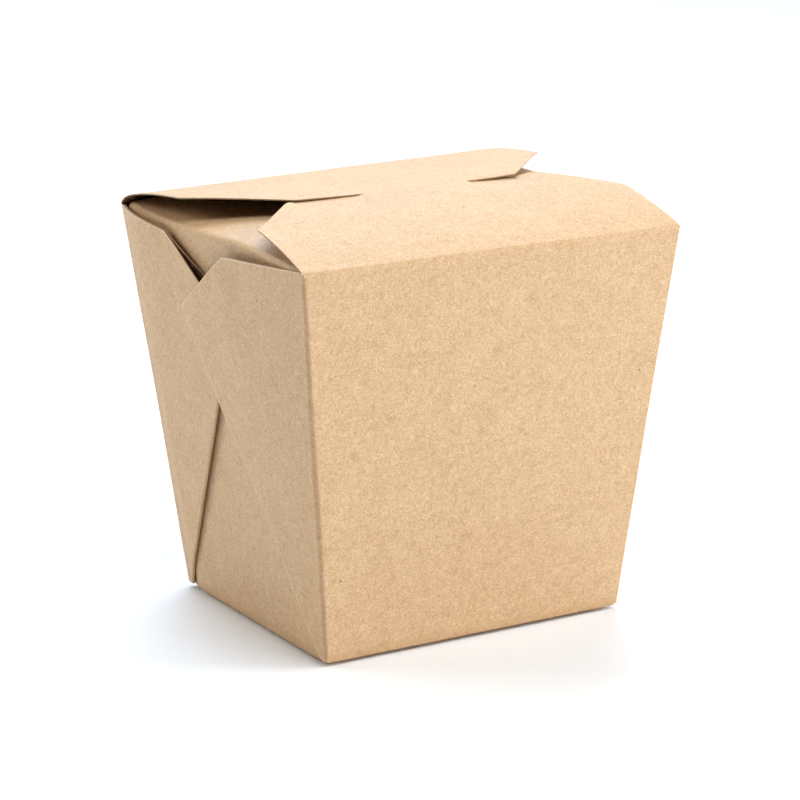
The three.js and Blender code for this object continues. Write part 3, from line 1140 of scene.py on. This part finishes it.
def join_sheets(box):
    """Joins the sheet's parts along their folds into the carton"""
    sheets = [piece for piece in bpy.context.scene.objects if piece.get(SHEET_TAG)]
    if not sheets:
        raise RuntimeError("add the parts of the sheet first")
    bpy.ops.object.select_all(action="DESELECT")
    for sheet in sheets:
        sheet.select_set(True)
    bpy.context.view_layer.objects.active = sheets[0]
    bpy.ops.object.join()
    piece = bpy.context.active_object
    piece.name = piece.data.name = "kraft_carton"
    del piece[SHEET_TAG]
    bpy.ops.object.mode_set(mode="EDIT")
    bpy.ops.mesh.select_all(action="SELECT")
    bpy.ops.mesh.remove_doubles(threshold=MERGE_DISTANCE)
    bpy.ops.object.mode_set(mode="OBJECT")
    face_outwards(piece)
    mark_folds(box, piece)
    mark_cut_edges(box, piece)
    waver(box, piece)
    settle(box, piece)
    return piece


def thicken(box, piece):
    """Gives the sheet the board's thickness, with finishes of their own for the cuts, darkened with painted
    shade, and for the inside, which is painted shade
    """
    only(piece)
    thickness = piece.modifiers.new("board", "SOLIDIFY")
    thickness.thickness = box.body.board
    thickness.offset = -1
    thickness.use_even_offset = True
    thickness.use_quality_normals = True
    # The rims take the cut edges' finish, darkened with painted shade, and the inner face takes the inside's
    # finish, which is painted shade
    thickness.material_offset_rim = 1
    thickness.material_offset = 2
    bpy.ops.object.modifier_apply(modifier=thickness.name)
    bpy.ops.object.shade_smooth_by_angle(angle=SMOOTH_ANGLE)


# ------------------------------------------------------------------ finish


class Nodes:
    """Short ways to add and link the nodes of one tree"""

    def __init__(self, tree):
        self.tree = tree

    def add(self, kind, inputs=(), **settings):
        node = self.tree.nodes.new(kind)
        for name, value in settings.items():
            setattr(node, name, value)
        for socket, value in dict(inputs).items():
            self.give(node.inputs[socket], value)
        return node

    def give(self, socket, value):
        if isinstance(value, bpy.types.NodeSocket):
            self.tree.links.new(value, socket)
        else:
            socket.default_value = value

    def math(self, operation, first, second=0.0):
        return self.add("ShaderNodeMath", {0: first, 1: second}, operation=operation).outputs[0]

    def noise(self, vector, scale, detail=2.0, roughness=0.5, distortion=0.0):
        values = {"Vector": vector, "Scale": scale, "Detail": detail,
                  "Roughness": roughness, "Distortion": distortion}
        return self.add("ShaderNodeTexNoise", values).outputs["Fac"]

    def band(self, value, low, high, start=0.0, finish=1.0):
        values = {"Value": value, "From Min": low, "From Max": high, "To Min": start, "To Max": finish}
        return self.add("ShaderNodeMapRange", values, clamp=True).outputs["Result"]

    def blend(self, share, first, second, blend_type="MIX"):
        node = self.add("ShaderNodeMix", data_type="RGBA", blend_type=blend_type)
        self.give(node.inputs["Factor"], share)
        self.give(node.inputs["A"], first)
        self.give(node.inputs["B"], second)
        return node.outputs["Result"]

    def shifted(self, vector, amount):
        return self.add("ShaderNodeVectorMath", {0: vector, 1: amount}, operation="ADD").outputs[0]


def fibre_mask(nodes, vector, scale, width, seed, cover):
    """Short curved strokes: the level lines of one noise, broken up by another"""
    moved = nodes.shifted(vector, (seed, -0.7 * seed, 0.4 * seed))
    level = nodes.noise(moved, scale, detail=1.0, distortion=0.4)
    off_line = nodes.math("ABSOLUTE", nodes.math("SUBTRACT", level, 0.5))
    line = nodes.band(off_line, 0.0, width, 1.0, 0.0)
    breaks = nodes.noise(moved, scale * 0.9, detail=0.0)
    gate = nodes.band(breaks, cover, cover + 0.08)
    return nodes.math("MULTIPLY", line, gate)


def colour4(colour):
    """The colour with full cover"""
    return (*colour, 1.0)


def board_group():
    """The shared look of kraft board: clouds, grain, fibres and specks"""
    name = "kraft fibres"
    if name in bpy.data.node_groups:
        return bpy.data.node_groups[name]
    tree = bpy.data.node_groups.new(name, "ShaderNodeTree")
    face = tree.interface
    for socket, kind in (
        ("Board", "NodeSocketColor"), ("Cloud", "NodeSocketColor"), ("Dark Fibre", "NodeSocketColor"),
        ("Pale Fibre", "NodeSocketColor"), ("Speck", "NodeSocketColor"), ("Fibre Amount", "NodeSocketFloat"),
        ("Vector", "NodeSocketVector"),
    ):
        face.new_socket(socket, in_out="INPUT", socket_type=kind)
    for socket, kind in (
        ("Color", "NodeSocketColor"), ("Roughness", "NodeSocketFloat"), ("Height", "NodeSocketFloat"),
    ):
        face.new_socket(socket, in_out="OUTPUT", socket_type=kind)
    nodes = Nodes(tree)
    given = nodes.add("NodeGroupInput").outputs
    vector = given["Vector"]
    amount = given["Fibre Amount"]

    clouds = nodes.band(nodes.noise(vector, 110.0, detail=3.0), 0.32, 0.68)
    colour = nodes.blend(clouds, given["Cloud"], given["Board"])
    blotches = nodes.band(nodes.noise(vector, 420.0, detail=2.0), 0.3, 0.7, 0.97, 1.03)
    grain = nodes.band(nodes.noise(vector, 1400.0, detail=1.0, roughness=0.6), 0.25, 0.75, 0.93, 1.07)
    fine = nodes.band(nodes.noise(vector, 2900.0, detail=1.0, roughness=0.6), 0.2, 0.8, 0.69, 1.31)
    shade = nodes.math("MULTIPLY", blotches, nodes.math("MULTIPLY", grain, fine))
    tinted = nodes.add("ShaderNodeCombineColor")
    for socket, power in zip(("Red", "Green", "Blue"), SHADE_POWERS):
        nodes.give(tinted.inputs[socket], nodes.math("POWER", shade, power))
    colour = nodes.blend(1.0, colour, tinted.outputs["Color"], "MULTIPLY")

    dark = nodes.math("MAXIMUM", fibre_mask(nodes, vector, 260.0, 0.030, 3.1, 0.56),
                      fibre_mask(nodes, vector, 480.0, 0.050, 7.7, 0.54))
    pale = nodes.math("MAXIMUM", fibre_mask(nodes, vector, 300.0, 0.034, 11.3, 0.54),
                      fibre_mask(nodes, vector, 560.0, 0.056, 17.9, 0.54))
    fibre_share = nodes.math("MULTIPLY", amount, FIBRE_SHARE)
    dark_share = nodes.math("MULTIPLY", dark, fibre_share)
    pale_share = nodes.math("MULTIPLY", pale, fibre_share)
    colour = nodes.blend(pale_share, colour, given["Pale Fibre"])
    colour = nodes.blend(dark_share, colour, given["Dark Fibre"])

    cells = nodes.add("ShaderNodeTexVoronoi", {"Vector": vector, "Scale": 230.0})
    pick = nodes.add("ShaderNodeSeparateColor", {0: cells.outputs["Color"]}).outputs
    size = nodes.band(pick["Green"], 0.0, 1.0, 0.025, 0.07)
    inside = nodes.math("LESS_THAN", cells.outputs["Distance"], size)
    chosen = nodes.math("GREATER_THAN", pick["Red"], 0.72)
    speck = nodes.math("MULTIPLY", inside, chosen)
    colour = nodes.blend(nodes.math("MULTIPLY", speck, SPECK_SHARE), colour, given["Speck"])

    roughness = nodes.band(grain, 0.93, 1.07, 0.56, 0.66)
    fibres = nodes.math("SUBTRACT", nodes.math("MULTIPLY", pale, 0.6), nodes.math("MULTIPLY", dark, 0.4))
    height = nodes.math("ADD", fibres, nodes.math("MULTIPLY", grain, 2.4))
    nodes.add("NodeGroupOutput", {"Color": colour, "Roughness": roughness, "Height": height})
    return tree


def board_material(box, name, main, cloud, fibre_amount, edge_highlighted):
    """A finish of kraft board with painted shade along its folds, which can have a pale line of burr and
    painted highlight right beside its cuts
    """
    look = box.look
    material = bpy.data.materials.new(name)
    material.use_nodes = True
    nodes = Nodes(material.node_tree)
    shader = material.node_tree.nodes["Principled BSDF"]
    group = nodes.add("ShaderNodeGroup", node_tree=board_group())
    vector = nodes.add("ShaderNodeTexCoord").outputs["Object"]
    for socket, value in (
        ("Board", colour4(main)), ("Cloud", colour4(cloud)), ("Dark Fibre", colour4(look.dark_fibre)),
        ("Pale Fibre", colour4(look.pale_fibre)), ("Speck", colour4(look.speck_colour)),
        ("Fibre Amount", fibre_amount), ("Vector", vector),
    ):
        nodes.give(group.inputs[socket], value)
    fold = nodes.add("ShaderNodeAttribute", attribute_name=FOLD_ATTRIBUTE).outputs["Fac"]
    # Painted shade along the folds, mixed in by how sharply the sheet is bent
    fold_shade = nodes.math("MULTIPLY", fold, nodes.band(nodes.noise(vector, 700.0), 0.3, 0.7, 0.2, 0.5))
    colour = nodes.blend(fold_shade, group.outputs["Color"], colour4(look.fold_shade_colour))
    if edge_highlighted:
        # A pale line of burr and painted highlight right beside the cuts
        cut = nodes.add("ShaderNodeAttribute", attribute_name=CUT_ATTRIBUTE).outputs["Fac"]
        ragged = nodes.band(nodes.noise(vector, 1600.0), 0.3, 0.7, -0.1 * MM, 0.1 * MM)
        edge_highlight = nodes.band(nodes.math("ADD", cut, ragged), 0.16 * MM, 0.32 * MM, 0.8, 0.0)
        colour = nodes.blend(edge_highlight, colour, colour4(look.burr_highlight_colour))
    nodes.give(shader.inputs["Base Color"], colour)
    nodes.give(shader.inputs["Roughness"], group.outputs["Roughness"])
    relief = {"Strength": BUMP_STRENGTH, "Distance": BUMP_DISTANCE, "Height": group.outputs["Height"]}
    raised = nodes.add("ShaderNodeBump", relief)
    nodes.give(shader.inputs["Normal"], raised.outputs["Normal"])
    shader.inputs["IOR"].default_value = BOARD_IOR
    return material


# ------------------------------------------------------------------ stage


def build_floor(box):
    """A plain pale floor, just under the box"""
    bpy.ops.object.select_all(action="DESELECT")
    bpy.ops.mesh.primitive_circle_add(
        vertices=96, radius=FLOOR_RADIUS, fill_type="NGON", location=(0, 0, -FLOOR_GAP))
    floor = bpy.context.active_object
    floor.name = "floor"
    bpy.ops.object.transform_apply(location=True, rotation=True, scale=True)
    material = bpy.data.materials.new("floor")
    material.use_nodes = True
    shader = material.node_tree.nodes["Principled BSDF"]
    shader.inputs["Base Color"].default_value = colour4(box.stage.floor_colour)
    shader.inputs["Roughness"].default_value = FLOOR_ROUGHNESS
    floor.data.materials.append(material)


def add_softbox(name, azimuth, elevation, distance, size, power, colour):
    """A square soft light that looks at the box from a direction, given in degrees"""
    back = direction(math.radians(azimuth), math.radians(elevation))
    bpy.ops.object.light_add(type="AREA", location=Vector((0, 0, 0.05)) + back * distance)
    lamp = bpy.context.active_object
    lamp.name = lamp.data.name = name
    lamp.rotation_euler = back.to_track_quat("Z", "Y").to_euler()
    lamp.data.shape = "SQUARE"
    lamp.data.size = size
    lamp.data.energy = power
    lamp.data.color = colour


def build_lights():
    """Soft lights round the box, each with its azimuth and elevation, distance, size,
    power in watts and colour"""
    add_softbox("key softbox", 60, 20, 1.2, 0.7, 14.2, (1.0, 0.945, 0.88))
    add_softbox("front softbox", 0, 60, 1.2, 0.6, 7.4, (0.935, 0.97, 1.0))
    add_softbox("rear softbox", 160, 38, 1.5, 1.2, 15.2, (0.645, 0.795, 1.0))
    add_softbox("high rear softbox", 150, 60, 1.2, 0.9, 6.6, (0.96, 0.98, 1.0))
    add_softbox("left softbox", -130, 32, 1.2, 0.65, 6.5, (1.0, 0.945, 0.855))
    add_softbox("left rear softbox", -150, 35, 1.2, 0.7, 0.6, (1.0, 1.0, 1.0))


def build_world():
    """A white backdrop that itself gives little light"""
    world = bpy.data.worlds.new("studio")
    bpy.context.scene.world = world
    world.use_nodes = True
    nodes = Nodes(world.node_tree)
    backdrop = world.node_tree.nodes["Background"]
    backdrop.inputs["Color"].default_value = (1.0, 1.0, 1.0, 1.0)
    straight = nodes.add("ShaderNodeLightPath").outputs["Is Camera Ray"]
    strength = nodes.band(straight, 0.0, 1.0, WORLD_LIGHT, BACKDROP_LIGHT)
    nodes.give(backdrop.inputs["Strength"], strength)


def build_camera(box):
    """The camera, aimed at the middle of the box and rolled a little"""
    stage = box.stage
    roll = stage.camera_roll
    back = direction(stage.camera_azimuth, stage.camera_elevation)
    right = (-back).cross(UP).normalized()
    up = right.cross(-back)
    tilted_right = right * math.cos(roll) + up * math.sin(roll)
    tilted_up = up * math.cos(roll) - right * math.sin(roll)
    target = Vector((0, 0, box.body.height / 2))
    bpy.ops.object.camera_add()
    camera = bpy.context.active_object
    camera.name = "camera"
    turned = Matrix((tilted_right, tilted_up, back)).transposed().to_4x4()
    camera.matrix_world = Matrix.Translation(target + back * stage.camera_distance) @ turned
    camera.data.sensor_width = SENSOR_WIDTH
    camera.data.lens = stage.camera_lens
    camera.data.shift_x, camera.data.shift_y = stage.camera_shift
    camera.data.clip_end = CLIP_END
    bpy.context.scene.camera = camera


# ------------------------------------------------------------------ operators


class TAKEAWAY_OT_add_base(bpy.types.Operator):
    """Add the base panel of the blank"""

    bl_idname = "takeaway.add_base"
    bl_label = "Add Base"

    def execute(self, context):
        build_base(context.scene.takeaway_box)
        return {"FINISHED"}


class TAKEAWAY_OT_add_walls(bpy.types.Operator):
    """Add the front and rear walls of the blank"""

    bl_idname = "takeaway.add_walls"
    bl_label = "Add Front and Rear Walls"

    def execute(self, context):
        for end in (FRONT, REAR):
            build_wall(context.scene.takeaway_box, end)
        return {"FINISHED"}


class TAKEAWAY_OT_add_side_panels(bpy.types.Operator):
    """Add the two side panels with their creases and side flaps"""

    bl_idname = "takeaway.add_side_panels"
    bl_label = "Add Side Panels"

    def execute(self, context):
        for side in SIDES:
            build_side_panel(context.scene.takeaway_box, side)
        return {"FINISHED"}


class TAKEAWAY_OT_add_webs(bpy.types.Operator):
    """Add the doubled webs that fold from the rear wall over the side panels"""

    bl_idname = "takeaway.add_webs"
    bl_label = "Add Webs"

    def execute(self, context):
        for side in SIDES:
            build_web(context.scene.takeaway_box, side)
        return {"FINISHED"}


class TAKEAWAY_OT_add_wings(bpy.types.Operator):
    """Add the wings that fold from the front wall over the webs"""

    bl_idname = "takeaway.add_wings"
    bl_label = "Add Wings"

    def execute(self, context):
        for side in SIDES:
            build_wing(context.scene.takeaway_box, side)
        return {"FINISHED"}


class TAKEAWAY_OT_add_front_flap(bpy.types.Operator):
    """Add the front lid flap with its slit"""

    bl_idname = "takeaway.add_front_flap"
    bl_label = "Add Front Lid Flap"

    def execute(self, context):
        build_front_flap(context.scene.takeaway_box)
        return {"FINISHED"}


class TAKEAWAY_OT_add_rear_flap(bpy.types.Operator):
    """Add the rear lid flap with its tongue"""

    bl_idname = "takeaway.add_rear_flap"
    bl_label = "Add Rear Lid Flap"

    def execute(self, context):
        build_rear_flap(context.scene.takeaway_box)
        return {"FINISHED"}


class TAKEAWAY_OT_join_blank(bpy.types.Operator):
    """Join the parts of the blank along their folds, thicken the board and finish it"""

    bl_idname = "takeaway.join_blank"
    bl_label = "Join and Finish the Board"

    def execute(self, context):
        box = context.scene.takeaway_box
        carton = join_sheets(box)
        carton.data.materials.clear()
        look = box.look
        for finish in (
            ("kraft_board", look.board_colour, look.shade_colour, 1.0, True),
            # The cut edges' finish is darkened with painted shade
            ("kraft_board_cut_edge_shade", look.cut_edge_shade_colour, look.cut_edge_shade_colour, 0.4, False),
            # The inside's finish is painted shade
            ("kraft_board_inside_shade", look.inside_shade_colour, look.inside_shade_colour, 1.0, False),
        ):
            carton.data.materials.append(board_material(box, *finish))
        thicken(box, carton)
        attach(carton, BODY_NAME)
        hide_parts(CARTON_NODE)
        return {"FINISHED"}


class TAKEAWAY_OT_add_stage(bpy.types.Operator):
    """Add the pale floor, the soft studio lights and the camera"""

    bl_idname = "takeaway.add_stage"
    bl_label = "Add Stage"

    def execute(self, context):
        box = context.scene.takeaway_box
        build_floor(box)
        build_world()
        build_lights()
        build_camera(box)
        context.scene.view_settings.view_transform = "Standard"
        return {"FINISHED"}


OPERATORS = (
    TAKEAWAY_OT_add_base,
    TAKEAWAY_OT_add_walls,
    TAKEAWAY_OT_add_side_panels,
    TAKEAWAY_OT_add_webs,
    TAKEAWAY_OT_add_wings,
    TAKEAWAY_OT_add_front_flap,
    TAKEAWAY_OT_add_rear_flap,
    TAKEAWAY_OT_join_blank,
    TAKEAWAY_OT_add_stage,
)


class TAKEAWAY_PT_panel(bpy.types.Panel):
    """Lists the steps that make the takeaway box, and its settings"""

    bl_idname = "TAKEAWAY_PT_panel"
    bl_label = "Noodle Takeaway Box"
    bl_space_type = "VIEW_3D"
    bl_region_type = "UI"
    bl_category = "Takeaway Box"

    def draw(self, context):
        layout = self.layout
        for operator in OPERATORS:
            layout.operator(operator.bl_idname)
        box = context.scene.takeaway_box
        for group in (box.body, box.sides, box.lid, box.look, box.stage):
            column = layout.box().column()
            for name in group.bl_rna.properties.keys():
                if name not in {"rna_type", "name"}:
                    column.prop(group, name)


CLASSES = (
    TakeawayBodySizes,
    TakeawaySideSizes,
    TakeawayLidSizes,
    TakeawayBoardLook,
    TakeawayStageLook,
    TakeawayBoxSettings,
    *OPERATORS,
    TAKEAWAY_PT_panel,
)


def register():
    """Adds the classes and the scene's settings"""
    for cls in CLASSES:
        bpy.utils.register_class(cls)
    bpy.types.Scene.takeaway_box = bpy.props.PointerProperty(type=TakeawayBoxSettings)


def unregister():
    """Takes the settings and the classes away again"""
    del bpy.types.Scene.takeaway_box
    for cls in reversed(CLASSES):
        bpy.utils.unregister_class(cls)


def write_sizes():
    """Brings the view layer up to date; it writes no sizes"""
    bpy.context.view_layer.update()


def main():
    """Builds the whole box and its stage, step by step"""
    register()
    bpy.ops.takeaway.add_base()
    bpy.ops.takeaway.add_walls()
    bpy.ops.takeaway.add_side_panels()
    bpy.ops.takeaway.add_webs()
    bpy.ops.takeaway.add_wings()
    bpy.ops.takeaway.add_front_flap()
    bpy.ops.takeaway.add_rear_flap()
    bpy.ops.takeaway.join_blank()
    bpy.ops.takeaway.add_stage()
    write_sizes()


if __name__ == "__main__":
    main()
